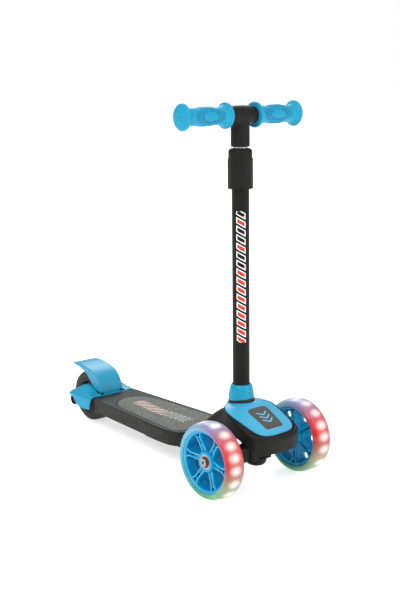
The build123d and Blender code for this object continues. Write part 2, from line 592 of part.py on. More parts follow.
# tail: lower platform and fork that carry the rear axle and the blue cover
tail = box(-45.5, 45.5, FA + 378, FA + 404, 37.5, 57.4)
tail -= box(-18.4, 18.4, FA + 379.9, FA + 410, 30, 70)
for s in (-1, 1):
    a, b = sorted((s * 20.2, s * 44.6))
    tail += box(a, b, FA + 395, FA + 430, 38.5, 56.0)
    tail += cx(9.9, *sorted((s * 20.2, s * 50.6)), RA, RW_R)
tail = one(tail, "deck tail")
deck += tail
deck -= cx(RW_R + 2.2, -19.6, 19.6, RA, RW_R)
deck -= cx(AXLE_R, -60, 60, RA, RW_R)
deck -= cx(8.0, 45.0, 60, RA, RW_R) + cx(8.0, -60, -45.0, RA, RW_R)
# mat recess in the top
MAT = [(0, 133), (31, 133.4), (40, 137), (46.4, 143), (49.6, 152), (50.2, 164), (47.4, 215), (44.2, 262), (41.6, 298),
       (39.6, 312), (35.6, 321.6), (30.2, 328.6), (22.6, 335.2), (13.6, 340.2), (5, 343), (0, 343.4)]


def mat_plan(k, z0, z1):
    r = [(max(0, x - k), y) for x, y in MAT]
    r = [(x, y + (k if y < 150 else (-k if y > 300 else 0))) for x, y in r]
    pts = r + [(-x, y) for x, y in reversed(r[1:-1])]
    return plan([(x, y + FA) for x, y in pts], z0, z1)


deck -= mat_plan(0.0, DECK_Z1 - 1.4, DECK_Z1 + 5)
for x, y in DS:
    deck += cz(4.2, 41.0, 58.0, x, y)
    deck -= cz(1.6, 36, 54, x, y)
deck -= box(-41, 41, FA + 125, FA + 169, 30, 41.0) + box(-47, 47, FA + 110, FA + 140.2, 30, 41.0)
# room for the neck's end inside the deck's front
deck -= neck_body
deck -= box(-60, 60, FA + 100, FA + 136, 30, 56.5) & neck_void
# bore for the brake pivot
BP_Y, BP_Z = FA + 384.0, 53.6
deck -= cx(1.8, -26.5, 26.5, BP_Y, BP_Z)
# step lines on the flanks, four on each side
for i, y in enumerate((362, 322, 280, 236)):
    arc = [(y - 12, 60.5), (y - 18, 55), (y - 22, 48), (y - 24.5, 40), (y - 25, 35)]
    pts = [(FA + a, z) for a, z in arc] + [(FA + 377, 35), (FA + 377, 60.5)]
    for s in (-1, 1):
        cut = side(pts, 0, 30)
        ang = math.degrees(math.atan((58 - 48.2) / (378 - 185)))
        x0 = 58 - 0.45 * (i + 1)
        cut = Pos(0, FA + 185, 0) * Rot(0, 0, ang) * Pos(0, -(FA + 185), 0) * cut
        cut = Pos(x0, 0, 0) * cut
        deck -= cut if s > 0 else mirx(cut)
CSR = [(-38, FA + 390), (38, FA + 390)]
for x, y in CSR:
    deck -= cz(1.3, 44, 60, x, y)
deck = one(deck, "deck")
save("deck", deck)

save("deck_mat", mat_plan(1.1, DECK_Z1 - 1.4, DECK_Z1 + 0.3))
save("deck_screws", *[cz(1.6, 36.0, 52.0, x, y) + cz(3.6, 34.2, 37.0, x, y) for x, y in DS])

# ---------------------------------------------------------------- rear cover: two pods over the axle ends, joined by a front band
def pod_sec(y, xo, zb, zo, zm, zi, t=0.0):
    """Section of the cover at y: outer skirt, shoulder, dome up to the wheel slot at x = 25.2."""
    xi = 25.2
    a = (xo - t, FA + y, zb)
    b = (xo - t, FA + y, zo - 1.2 * t)
    c = (xo - 4.5 - 0.4 * t, FA + y, zo + 3.4 - t)
    d = ((xo + xi) / 2, FA + y, zm - t)
    e = (xi + 0.0, FA + y, zi - t)
    g = (xi + 0.0, FA + y, zb)
    top = Spline(b, c, d, e)
    return Face(Wire([Line(a, b), top.edge(), Line(e, g), Line(g, a)]))


PODS = [(380, 49.6, 20, 57.0, 61.2, 61.4), (393, 50.8, 20, 57.2, 62.0, 62.8), (404, 52.4, 20, 57.6, 64.6, 67.4),
        (415, 53.8, 20, 58.2, 67.4, 72.6), (426, 54.6, 20, 58.6, 68.0, 72.8), (436, 54.0, 20, 58.2, 66.0, 69.4),
        (445, 52.2, 20, 56.4, 62.4, 65.4), (452, 49.0, 20, 53.0, 58.0, 60.6)]
pod = loft([pod_sec(*q) for q in PODS])
pod_in = loft([pod_sec(q[0] - (8 if i == 0 else 0) + (0 if i < 7 else 1), q[1], 10, q[3], q[4], q[5], 2.4)
               for i, q in enumerate(PODS)])
# skirt's lower edge: straight at the front, arched over the axle boss, open behind
skirt = side([(FA + 387.5, 36.8), (FA + 401.5, 36.4), (FA + 411.5, 37.0), (FA + 417.5, 40.0), (FA + 421, 44.0),
              (FA + 424.5, 49.0), (FA + 428.5, 52.0), (FA + 435, 53.6), (FA + 444, 54.0), (FA + 452, 53.4), (FA + 462, 52.0),
              (FA + 462, 100), (FA + 379, 100), (FA + 379, 60.4), (FA + 381, 58.6), (FA + 383.4, 54.0), (FA + 385.6, 46.0)], -70, 70)
pod &= skirt
pod -= pod_in & box(0, 70, FA + 370, FA + 448, 0, 100)
band = box(-30, 30, FA + 380, FA + 382.8, 57.4, 60.9)
cover_r = pod + mirx(pod) + band
cover_r -= box(-45.7, 45.7, FA + 377, FA + 404.2, 30, 57.4)
for s in (-1, 1):
    cover_r -= box(*sorted((s * 20.0, s * 44.8)), FA + 385, FA + 430.3, 30, 56.0)
    cover_r -= cx(10.2, *sorted((s * 20.0, s * 50.9)), RA, RW_R)
cover_r -= cx(RW_R + 2.2, -25.0, 25.0, RA, RW_R)
for x, y in CSR:
    cover_r -= cz(1.6, 50, 80, x, y) + cz(3.0, 59.6, 80, x, y)
cover_r = one(cover_r, "rear cover")
save("rear_cover", cover_r)
save("rear_cover_screws", *[cz(1.3, 45.0, 57.5, x, y) + cz(1.6, 57.4, 59.7, x, y) + cz(2.9, 59.6, 61.2, x, y) for x, y in CSR])

# ---------------------------------------------------------------- brake fender
OUT = [(384.8, 63.5), (386.0, 70.0), (389.0, 78.0), (393.8, 85.8), (400.8, 92.6), (410.0, 98.0), (419.4, 101.2),
       (430.0, 103.4), (441.0, 104.8), (452.0, 105.4), (462.0, 105.2), (470.0, 104.5)]
INN = [(471.6, 101.9), (462.0, 101.4), (452.0, 101.2), (441.0, 100.8), (430.0, 99.4), (420.4, 97.2), (411.6, 94.4),
       (403.4, 89.4), (397.2, 83.4), (392.4, 76.2), (389.6, 69.2), (388.4, 63.5)]
FEN_W = 24.4


def yz_spline_plate(out, inn, x0, x1):
    o = Spline(*[(x0, FA + y, z) for y, z in out])
    n = Spline(*[(x0, FA + y, z) for y, z in inn])
    w = Wire([o.edge(), Line((x0, FA + out[-1][0], out[-1][1]), (x0, FA + inn[0][0], inn[0][1])), n.edge(),
              Line((x0, FA + inn[-1][0], inn[-1][1]), (x0, FA + out[0][0], out[0][1]))])
    return extrude(Face(w), x1 - x0, dir=(1, 0, 0))


plate = yz_spline_plate(OUT, INN, -FEN_W, FEN_W)
plate = soft(plate, [e for e in plate.edges() if abs(abs(e.center().X) - FEN_W) < 0.01 and e.length > 60], 2.2, "fender edges")
# side skirts, deepest over the front of the tyre
SK = [(386.6, 64.0), (403.6, 65.6), (408.4, 69.0), (415.6, 79.0), (426.6, 88.8), (437.0, 94.8), (452.6, 99.3), (471.0, 102.2)]
sk_in = [(470.0, 103.0), (452.0, 103.4), (430.0, 101.4), (410.4, 96.0), (397.6, 86.4), (390.4, 75.0), (386.6, 64.0)]
skirt_f = side([(FA + y, z) for y, z in SK + sk_in[:-1]], -FEN_W, FEN_W) - box(-22.2, 22.2, FA + 380, FA + 480, 60, 110)
skirt_f &= yz_spline_plate(OUT, [(471.6, 60), (430, 60), (388, 60)], -FEN_W, FEN_W)
fen = plate + skirt_f
# root: a hinge barrel under the front edge, on the pivot pin
fen += cx(3.6, -17.6, 17.6, BP_Y, BP_Z) + box(-17.6, 17.6, BP_Y - 0.6, BP_Y + 3.0, BP_Z, 66.0)
fen -= cx(1.8 + RUN, -30, 30, BP_Y, BP_Z)
fen -= cx(4.6, -7.0, 7.0, BP_Y, BP_Z)
fen = one(fen, "fender")
save("brake_fender", fen)
pad = yz_spline_plate([(420.4, 97.9), (430.0, 100.0), (441.0, 101.4), (452.0, 101.8)],
                      [(452.0, 97.6), (441.0, 97.0), (430.0, 95.8), (420.4, 93.6)], -14, 14)
pad -= plate
pad = one(pad, "pad")
save("brake_pad", pad)
save("brake_pivot_pin", cx(1.8, -26.0, 26.0, BP_Y, BP_Z))
bsp = Pos(-6.2, BP_Y, BP_Z) * Rot(0, 90, 0) * sweep(Plane(origin=(2.8, 0, 0), z_dir=(0, 1, 0.11)) * Circle(0.55),
                                                   path=Helix(pitch=2.3, height=12.4, radius=2.8))
save("brake_spring", bsp)


# ================================================================ rear wheel
def R(s):
    return Pos(0, RA, RW_R) * s


RB = 16.3                         # outer faces of the rear bearings
rt = [(-17.0, 32.4), (-17.0, 42.2), (-16.3, 44.3), (-14.2, 45.5), (-9, 45.95), (0, 46.0), (9, 45.95), (14.2, 45.5),
      (16.3, 44.3), (17.0, 42.2), (17.0, 32.4), (15.6, 31.0), (-15.6, 31.0)]
save("rear_tyre", R(rev_x(rt)))
rh = rev_x([(-15.6, 31.0), (15.6, 31.0), (15.6, 28.0), (9, 26.0), (9, 16.0), (16.6, 14.5), (16.6, 5.0), (-16.6, 5.0),
            (-16.6, 14.5), (-9, 16.0), (-9, 26.0), (-15.6, 28.0)])
rh -= cx(BRG_OD / 2, -20, -RB + BRG_W) + cx(BRG_OD / 2, RB - BRG_W, 20) + cx(6.2, -20, 20)
save("rear_hub", R(rh))
save("rear_bearings", R(bearing(-RB, -RB + BRG_W, AXLE_R + RUN)), R(bearing(RB - BRG_W, RB, AXLE_R + RUN)))
ra = cx(AXLE_R, -49.4, 45.2, RA, RW_R) + cx(6.6, 45.0, 49.4, RA, RW_R)
ra -= Pos(49.4, RA, RW_R) * Rot(0, 90, 0) * extrude(RegularPolygon(2.5, 6, major_radius=False), 2.6, both=True)
save("rear_axle_bolt", ra)
rn = Pos(-48.8, RA, RW_R) * Rot(0, 90, 0) * extrude(RegularPolygon(6.5, 6, major_radius=False), 3.8)
rn -= cx(AXLE_R, -60, 0, RA, RW_R)
save("rear_axle_nut", rn)
save("rear_spacers", cx(6.4, -20.2, -RB - 0.3, RA, RW_R) - cx(AXLE_R, -30, 0, RA, RW_R),
     cx(6.4, RB + 0.3, 20.2, RA, RW_R) - cx(AXLE_R, 0, 30, RA, RW_R))
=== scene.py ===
import bpy
import bmesh
import math
from mathutils import Matrix, Vector


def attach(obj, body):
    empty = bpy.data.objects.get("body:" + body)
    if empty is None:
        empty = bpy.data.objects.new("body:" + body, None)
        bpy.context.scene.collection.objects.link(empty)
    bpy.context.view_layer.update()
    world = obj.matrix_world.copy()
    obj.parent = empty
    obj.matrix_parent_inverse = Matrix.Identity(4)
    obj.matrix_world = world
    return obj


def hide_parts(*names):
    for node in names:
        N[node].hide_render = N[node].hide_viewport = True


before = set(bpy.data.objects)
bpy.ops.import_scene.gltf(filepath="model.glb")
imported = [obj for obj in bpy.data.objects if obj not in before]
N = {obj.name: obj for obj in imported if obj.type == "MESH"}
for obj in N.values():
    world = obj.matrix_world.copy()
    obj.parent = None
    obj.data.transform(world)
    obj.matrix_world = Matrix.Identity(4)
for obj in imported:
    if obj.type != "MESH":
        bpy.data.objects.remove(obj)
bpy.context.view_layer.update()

FA, RA = -0.213, 0.221            # front and rear axle lines
TUBE_Y0 = FA + 0.03294            # steering tube axis at the floor
LEAN = math.radians(1.0314)
CL, SL = math.cos(LEAN), math.sin(LEAN)
MM = 0.001


def srgb(r, g, b):
    """0-255 display colour to scene-linear."""
    out = []
    for v in (r, g, b):
        v /= 255.0
        out.append(v / 12.92 if v <= 0.04045 else ((v + 0.055) / 1.055) ** 2.4)
    return tuple(out) + (1.0,)


def smooth(t):
    t = min(1.0, max(0.0, t))
    return t * t * (3 - 2 * t)


def lerp_list(pts, x):
    if x <= pts[0][0]:
        return pts[0][1]
    for (x0, y0), (x1, y1) in zip(pts, pts[1:]):
        if x <= x1:
            return y0 + (y1 - y0) * (x - x0) / (x1 - x0)
    return pts[-1][1]


def catmull(pts, n, closed=False):
    """Smooth curve through pts with n steps a span."""
    out = []
    m = len(pts)
    spans = m if closed else m - 1
    for i in range(spans):
        p1, p2 = pts[i], pts[(i + 1) % m]
        p0 = pts[i - 1] if (i > 0 or closed) else tuple(2 * a - b for a, b in zip(p1, p2))
        p3 = pts[(i + 2) % m] if (i + 2 < m or closed) else tuple(2 * b - a for a, b in zip(p1, p2))
        for k in range(n):
            t = k / n
            out.append(tuple(0.5 * (2 * b + (c - a) * t + (2 * a - 5 * b + 4 * c - d) * t * t + (3 * b - a - 3 * c + d) * t ** 3)
                             for a, b, c, d in zip(p0, p1, p2, p3)))
    if not closed:
        out.append(tuple(pts[-1]))
    return out


def mesh_obj(name, verts, faces, sharp=38.0, attr=None):
    """Closed mesh in metres from millimetre vertices, smooth shaded with sharp edges kept."""
    me = bpy.data.meshes.new(name)
    me.from_pydata([(x * MM, y * MM, z * MM) for x, y, z in verts], [], faces)
    if attr:
        for an, vals in attr.items():
            a = me.attributes.new(an, "FLOAT", "POINT")
            a.data.foreach_set("value", vals)
    bm = bmesh.new()
    bm.from_mesh(me)
    bmesh.ops.recalc_face_normals(bm, faces=bm.faces)
    bm.to_mesh(me)
    bm.free()
    me.shade_smooth()
    me.set_sharp_from_angle(angle=math.radians(sharp))
    me.update()
    o = bpy.data.objects.new(name, me)
    bpy.context.scene.collection.objects.link(o)
    return o


def tube_frame(x, y, z):
    """Point of the steering tube's own frame, in millimetres, to the row's frame."""
    return (x, TUBE_Y0 * 1000 + y * CL + z * SL, -y * SL + z * CL)


# ================================================================ front hubs
RINGS = [11.03, 11.5, 12.8, 14.3, 15.2, 15.7, 16.0, 16.35, 16.8, 17.5, 18.5, 19.8, 21.3, 23.0, 24.8, 26.2, 27.0, 28.2, 29.8,
         31.6, 33.4, 35.2, 36.6, 37.4, 38.2, 38.8, 39.4, 40.2, 41.0, 41.8, 42.5, 43.0, 43.4, 43.8, 44.1, 44.35, 44.6, 44.9,
         45.6, 46.4, 47.2, 47.8, 48.2, 48.5, 48.9]
RIB_W = [(11, 3.2), (16, 4.7), (20, 4.1), (25, 3.5), (31, 3.0), (36, 2.9), (38.5, 3.3), (41, 4.2), (43, 5.4), (44.6, 6.6), (49, 7.0)]
SLOT_W = [(11, 0.9), (26, 0.9), (27, 0.75), (28.6, 1.45), (35.5, 1.7), (37.4, 1.0), (38.4, 0.8), (39.0, 0.8), (43.0, 3.5), (44.6, 4.0), (49, 4.2)]
FRAC = [0.04, 0.09, 0.16, 0.25, 0.36, 0.46, 0.53, 0.59, 0.72, 0.86, 1.0]
FACE_X = [(11.03, 12.7), (11.5, 13.0), (14.3, 13.0), (15.2, 12.8), (15.7, 12.2), (16.0, 11.2), (16.35, 10.2)]
RIM_X = [(44.35, 12.5), (44.6, 12.8), (44.9, 12.95), (46.4, 13.2), (47.2, 14.1), (47.8, 14.5), (48.2, 14.5), (48.5, 14.1), (48.9, 12.6)]


def rib_top(r):
    return 9.3 + 3.4 * smooth((r - 16.5) / 26.5)


def hub_heights(r, c, f):
    """Outer and inner surface of the hub at ring r and column c, with a painted light-and-shade value for its colour:
    pale rib tops and rim lip as painted highlight, darker pockets and slots as painted shade.
    """
    if r <= 16.36:
        return lerp_list(FACE_X, r), -lerp_list(FACE_X, r), 0.72
    if r >= 44.34:
        x = lerp_list(RIM_X, r)
        return x, -x, 0.62 + 0.38 * smooth((r - 46.0) / 1.6)
    b = rib_top(r)
    # painted shading: slot walls darker, the deep slot near the rim darkest, rib tops palest as painted highlight
    if c <= 2:
        ho, painted_shading = b - 1.0, 0.5
        if c <= 1 and 38.7 < r < 43.2:
            ho, painted_shading = b - 5.0, 0.0
        elif c <= 1:
            ho, painted_shading = b - 1.4, 0.34
    elif c == 3:
        ho, painted_shading = b - 1.0, 0.55
    elif c in (4, 5):
        ho, painted_shading = b, 1.0
    elif c == 6:
        ho, painted_shading = b - 0.6, 0.8
    else:
        # pockets: painted shade, darker the deeper the dish
        dl = f * (r * math.radians(30) - lerp_list(RIB_W, r) - 0.95)
        d = min(dl, 1.15 * (44.5 - r), 1.0 * (r - 16.2))
        t = min(1.0, max(0.0, d / 8.0))
        s = math.sqrt(1 - (1 - t) ** 2)
        ho = b - 0.6 - (b + 1.2) * s
        painted_shading = 0.66 - 0.46 * s
        return ho, -(b - 0.6 - (b - 4.6) * s), painted_shading
    return ho, -ho, painted_shading


def make_hub(name, sgn, spoke0):
    verts, painted_shading = [], []
    cols = 204
    for side in (0, 1):
        for r in RINGS:
            w = lerp_list(RIB_W, r)
            s = lerp_list(SLOT_W, r)
            s = min(s, w - 1.3)
            lat = [0.0, s - 0.22, s, w - 0.95, w - 0.5, w + 0.5, w + 0.95]
            a6 = math.asin(lat[6] / r)
            for j in range(cols):
                k, m = divmod(j, 34)
                m -= 17
                c = abs(m)
                if c <= 6:
                    a, f = math.asin(max(0.0, lat[c]) / r), 0.0
                else:
                    f = FRAC[c - 7]
                    a = a6 + f * (math.radians(30) - a6)
                th = math.radians(spoke0 + 60 * k) + (a if m >= 0 else -a)
                ho, hi, t = hub_heights(r, c, f)
                x = ho if side == 0 else hi
                # inner face: painted shade, the spoke channels darkest
                if side:
                    t = 0.42 + 0.36 * t if c > 2 else 0.6 * t
                verts.append((sgn * (93 + x), FA * 1000 - r * math.cos(th), 60 + r * math.sin(th)))
                painted_shading.append(t)
    nr = len(RINGS)

    def vid(side, i, j):
        return side * nr * cols + i * cols + j % cols

    def hole(i, j):
        if i < 0 or i >= nr - 1:
            return False
        m = (j % cols) % 34 - 17
        slot = m in (-1, 0) and RINGS[i] >= 26.9 and RINGS[i + 1] <= 37.5
        window = (m >= 14 or m <= -15) and RINGS[i] >= 31.5 and RINGS[i + 1] <= 40.3
        return slot or window

    faces = []
    for i in range(nr - 1):
        for j in range(cols):
            if hole(i, j):
                for (a, b, q) in (((i, j), (i, j + 1), (i - 1, j)), ((i + 1, j), (i + 1, j + 1), (i + 1, j)),
                                  ((i, j), (i + 1, j), (i, j - 1)), ((i, j + 1), (i + 1, j + 1), (i, j + 1))):
                    if not hole(*q):
                        faces.append((vid(0, *a), vid(0, *b), vid(1, *b), vid(1, *a)))
                continue
            for side in (0, 1):
                faces.append((vid(side, i, j), vid(side, i, j + 1), vid(side, i + 1, j + 1), vid(side, i + 1, j)))
    for j in range(cols):
        for i in (0, nr - 1):
            faces.append((vid(0, i, j), vid(0, i, j + 1), vid(1, i, j + 1), vid(1, i, j)))
    return mesh_obj(name, verts, faces, 34.0, {"painted_shading": painted_shading})


# ================================================================ front tyres
TYRE = [(12.9, 49.05), (14.3, 48.75), (15.3, 48.7), (16.3, 49.1), (17.1, 50.1), (17.5, 51.7), (17.3, 53.5), (16.4, 55.3), (14.7, 56.9), (12.2, 58.25),
        (9.0, 59.2), (5.0, 59.8), (0.6, 60.0), (0.0, 59.93), (-0.6, 60.0), (-5.0, 59.8), (-9.0, 59.2), (-12.2, 58.25), (-14.7, 56.9), (-16.4, 55.3), (-17.3, 53.5),
        (-17.5, 51.7), (-17.1, 50.1), (-16.3, 49.1), (-15.3, 48.7), (-14.3, 48.75), (-12.9, 49.05)]


def revolve_x(name, prof, seg, cx, cy, cz, sharp=35.0, closed=True):
    """Closed ring about the line through (cy, cz) along X from (x, r) points."""
    verts, faces = [], []
    n = len(prof)
    for k in range(seg):
        a = 2 * math.pi * k / seg
        for x, r in prof:
            verts.append((cx + x, cy - r * math.cos(a), cz + r * math.sin(a)))
    for k in range(seg):
        for i in range(n):
            a, b = i, (i + 1) % n
            k2 = (k + 1) % seg
            faces.append((k * n + a, k * n + b, k2 * n + b, k2 * n + a))
    return mesh_obj(name, verts, faces, sharp)


def make_tyre(name, sgn):
    outer = catmull(TYRE, 3)
    prof = outer + [(0.0, 49.05)]
    return revolve_x(name, [(sgn * x, r) for x, r in prof], 216, sgn * 93, FA * 1000, 60, 50.0)


# ================================================================ grips
def make_grip(name, sgn):
    head = [(27.0, 9.7), (27.0, 13.2), (28.3, 13.5), (28.4, 15.3), (27.5, 16.1), (27.4, 18.1), (27.8, 18.9), (28.6, 19.4), (30.0, 19.6),
            (31.2, 19.45), (31.9, 19.0), (32.15, 18.55), (31.95, 18.25), (32.25, 17.95), (32.9, 17.5), (33.5, 16.9), (34.3, 16.3),
            (35.3, 15.7), (36.6, 15.05), (38.2, 14.45)]
    body = [(40.0, 13.95), (44.0, 13.35), (52.0, 13.2), (62.0, 13.6), (72.0, 13.9), (82.0, 13.8), (92.0, 13.3), (101.0, 13.02), (104.4, 13.2)]
    tail = [(105.9, 13.6), (107.1, 14.4), (108.2, 15.4), (109.1, 16.6), (109.9, 17.8), (110.7, 18.9), (111.5, 19.6), (112.4, 19.88), (113.3, 19.75),
            (114.2, 19.2), (115.0, 18.2), (115.8, 16.4), (116.4, 14.4), (116.9, 12.0), (117.35, 9.2), (117.7, 6.2), (117.95, 3.2), (118.05, 1.15),
            (117.9, 0.95), (116.4, 0.8)]
    sb = catmull(body, 16)
    prof = head + sb + tail
    seg = 168
    verts, faces, painted_shading = [], [], []
    for x, r in prof:
        for k in range(seg):
            a = 2 * math.pi * k / seg                 # 0 faces forward, a quarter turn is up
            h = 0.0
            if 41.0 < x < 103.0:
                aa = (a + math.pi) % (2 * math.pi) - math.pi
                arc = aa * 13.6
                fade = smooth((x - 42) / 4) * smooth((102 - x) / 4)
                # oval panel facing forward with two arcs round it
                e = math.hypot((x - 68.0) / 14.5, arc / 6.4)
                h += 0.62 * smooth((1.06 - e) / 0.10)
                for q, lift in ((1.42, 0.55), (1.78, 0.45)):
                    h += lift * math.exp(-((e - q) / 0.075) ** 2) * smooth((abs(x - 68.0) - 11.0) / 4.0)
                # slanted finger ribs on the top and the underside
                for mid in (1.22, -1.42):
                    u = abs(aa - mid)
                    if u < 0.82:
                        ph = (x + (aa - mid) * 6.5 * (1 if mid > 0 else -1)) / 4.9
                        band = smooth((0.82 - u) / 0.16) * smooth((x - 54.5) / 2.5) * smooth((83.5 - x) / 2.5)
                        h += 0.95 * band * (0.5 + 0.5 * math.cos(2 * math.pi * ph)) ** 1.6
                h *= fade
            rr = r + h
            verts.append(tube_frame(sgn * x, -rr * math.cos(a), 571.9 + rr * math.sin(a)))
            # painted shade in the low ground between the finger ribs and round the oval panel
            near = 1.0 if 41.0 < x < 103.0 and (min(abs(aa - 1.22), abs(aa + 1.42)) < 0.8 and 54.5 < x < 83.5 or e < 2.0) else 0.0
            painted_shading.append(0.8 * near * (1.0 - min(1.0, h / 0.55)))
    n = len(prof)
    for i in range(n - 1):
        for k in range(seg):
            k2 = (k + 1) % seg
            faces.append((i * seg + k, i * seg + k2, (i + 1) * seg + k2, (i + 1) * seg + k))
    # vent bottom, and the sleeve bored for the bar
    base = len(verts)
    verts.append(tube_frame(sgn * 116.4, 0, 571.9))
    for k in range(seg):
        faces.append(((n - 1) * seg + k, (n - 1) * seg + (k + 1) % seg, base))
    b0 = len(verts)
    for k in range(seg):
        a = 2 * math.pi * k / seg
        verts.append(tube_frame(sgn * 112.4, -9.7 * math.cos(a), 571.9 + 9.7 * math.sin(a)))
    verts.append(tube_frame(sgn * 112.4, 0, 571.9))
    for k in range(seg):
        k2 = (k + 1) % seg
        faces.append((k, k2, b0 + k2, b0 + k))
        faces.append((b0 + k, b0 + k2, b0 + seg))
    return mesh_obj(name, verts, faces, 46.0, {"painted_groove_shade": painted_shading + [0.0] * (len(verts) - len(painted_shading))})


# ================================================================ node helpers
class Mat:
    def __init__(self, name):
        self.m = bpy.data.materials.new(name)
        self.m.use_nodes = True
        self.t = self.m.node_tree
        self.t.nodes.clear()
        self.out = self.n("ShaderNodeOutputMaterial")
        self.p = self.n("ShaderNodeBsdfPrincipled")
        self.link(self.p.outputs[0], self.out.inputs["Surface"])
        self._obj = None

    def n(self, kind, **kw):
        x = self.t.nodes.new(kind)
        for k, v in kw.items():
            setattr(x, k, v)
        return x

    def link(self, a, b):
        self.t.links.new(a, b)

    def set(self, **kw):
        for k, v in kw.items():
            self.p.inputs[k.replace("_", " ")].default_value = v
        return self

    @property
    def obj(self):
        if self._obj is None:
            self._obj = self.n("ShaderNodeTexCoord").outputs["Object"]
        return self._obj

    def mapped(self, scale=(1, 1, 1), loc=(0, 0, 0), rot=(0, 0, 0), src=None):
        x = self.n("ShaderNodeMapping")
        x.inputs["Scale"].default_value = scale
        x.inputs["Location"].default_value = loc
        x.inputs["Rotation"].default_value = rot
        self.link(src or self.obj, x.inputs["Vector"])
        return x.outputs[0]

    def noise(self, scale, detail=3.0, rough=0.5, src=None):
        x = self.n("ShaderNodeTexNoise")
        x.inputs["Scale"].default_value = scale
        x.inputs["Detail"].default_value = detail
        x.inputs["Roughness"].default_value = rough
        self.link(src or self.obj, x.inputs["Vector"])
        return x.outputs["Fac"]

    def voronoi(self, scale, src=None, feature="F1", out="Distance"):
        x = self.n("ShaderNodeTexVoronoi", feature=feature)
        x.inputs["Scale"].default_value = scale
        self.link(src or self.obj, x.inputs["Vector"])
        return x.outputs[out]

    def attr(self, name):
        x = self.n("ShaderNodeAttribute")
        x.attribute_name = name
        return x.outputs["Fac"]

    def math(self, op, a, b=None, c=None, clamp=False):
        x = self.n("ShaderNodeMath", operation=op, use_clamp=clamp)
        for i, v in enumerate((a, b, c)):
            if v is None:
                continue
            if hasattr(v, "is_output"):
                self.link(v, x.inputs[i])
            else:
                x.inputs[i].default_value = v
        return x.outputs[0]

    def add(self, a, b):
        return self.math("ADD", a, b)

    def sub(self, a, b):
        return self.math("SUBTRACT", a, b)

    def mul(self, a, b):
        return self.math("MULTIPLY", a, b)

    def mapr(self, v, a, b, c, d, kind="LINEAR", clamp=True):
        x = self.n("ShaderNodeMapRange", interpolation_type=kind, clamp=clamp)
        self.link(v, x.inputs[0])
        for i, q in enumerate((a, b, c, d)):
            x.inputs[i + 1].default_value = q
        return x.outputs[0]

    def step(self, v, a, b):
        """0 below a, 1 above b, smooth between (a may be above b)."""
        if a < b:
            return self.mapr(v, a, b, 0.0, 1.0, "SMOOTHSTEP")
        return self.mapr(v, b, a, 1.0, 0.0, "SMOOTHSTEP")

    def ramp(self, fac, stops, kind="LINEAR"):
        x = self.n("ShaderNodeValToRGB")
        x.color_ramp.interpolation = kind
        el = x.color_ramp.elements
        while len(el) < len(stops):
            el.new(0.5)
        for e, (pos, col) in zip(el, stops):
            e.position = pos
            e.color = col
        self.link(fac, x.inputs[0])
        return x.outputs[0]

    def mix(self, fac, a, b, mode="MIX"):
        x = self.n("ShaderNodeMix", data_type="RGBA", blend_type=mode)
        for s, v in ((x.inputs[0], fac), (x.inputs[6], a), (x.inputs[7], b)):
            if hasattr(v, "is_output"):
                self.link(v, s)
            else:
                s.default_value = v
        return x.outputs[2]

    def xyz(self, src=None):
        x = self.n("ShaderNodeSeparateXYZ")
        self.link(src or self.obj, x.inputs[0])
        return x.outputs[0], x.outputs[1], x.outputs[2]

    def bevel(self, r, samples=4):
        b = self.n("ShaderNodeBevel", samples=samples)
        b.inputs["Radius"].default_value = r
        return b.outputs[0]

    def bump(self, height, strength=0.2, dist=0.0005, normal=None):
        b = self.n("ShaderNodeBump")
        b.inputs["Strength"].default_value = strength
        b.inputs["Distance"].default_value = dist
        self.link(height, b.inputs["Height"])
        if normal is not None:
            self.link(normal, b.inputs["Normal"])
        return b.outputs[0]

    def color(self, c):
        if hasattr(c, "is_output"):
            self.link(c, self.p.inputs["Base Color"])
        else:
            self.p.inputs["Base Color"].default_value = c

    def rough(self, c):
        if hasattr(c, "is_output"):
            self.link(c, self.p.inputs["Roughness"])
        else:
            self.p.inputs["Roughness"].default_value = c

    def normal(self, n):
        self.link(n, self.p.inputs["Normal"])


def mottle(m, col, vary, scale=28.0):
    dark = tuple(c * (1 - vary) for c in col[:3]) + (1,)
    light = tuple(min(1, c * (1 + vary)) for c in col[:3]) + (1,)
    return m.ramp(m.noise(scale, 4.0), [(0.3, dark), (0.7, light)])


def plastic(name, col, rough=0.4, grain=900.0, grain_h=0.00004, vary=0.06, edge=0.0012, spec=0.5):
    """Moulded plastic: faint mottling of colour and gloss, fine moulded grain, softened edges."""
    m = Mat(name)
    m.color(mottle(m, col, vary))
    m.rough(m.mapr(m.noise(140.0, 3.0), 0.3, 0.7, rough - 0.05, rough + 0.06))
    m.set(IOR=1.48)
    m.p.inputs["Specular IOR Level"].default_value = spec
    nb = m.bevel(edge) if edge else None
    m.normal(m.bump(m.noise(grain, 2.0), 0.35, grain_h, nb))
    return m


def metal(name, col, rough=0.3, brushed=(1, 1, 1), edge=0.0004):
    m = Mat(name)
    v = m.mapped(scale=brushed)
    f = m.noise(600.0, 3.0, src=v)
    m.color(m.mix(f, tuple(c * 0.82 for c in col[:3]) + (1,), col))
    m.rough(m.mapr(f, 0.3, 0.7, rough - 0.07, rough + 0.08))
    m.set(Metallic=1.0)
    m.normal(m.bump(f, 0.15, 0.00003, m.bevel(edge)))
    return m


BLUE = srgb(12, 143, 178)
BLACK = srgb(45, 45, 42)
WHITE = srgb(236, 236, 232)
RED = srgb(198, 58, 52)

M = {}
M["blue"] = plastic("blue_plastic", BLUE, 0.36, 1100, 0.00003, 0.04, 0.0018, 0.34)
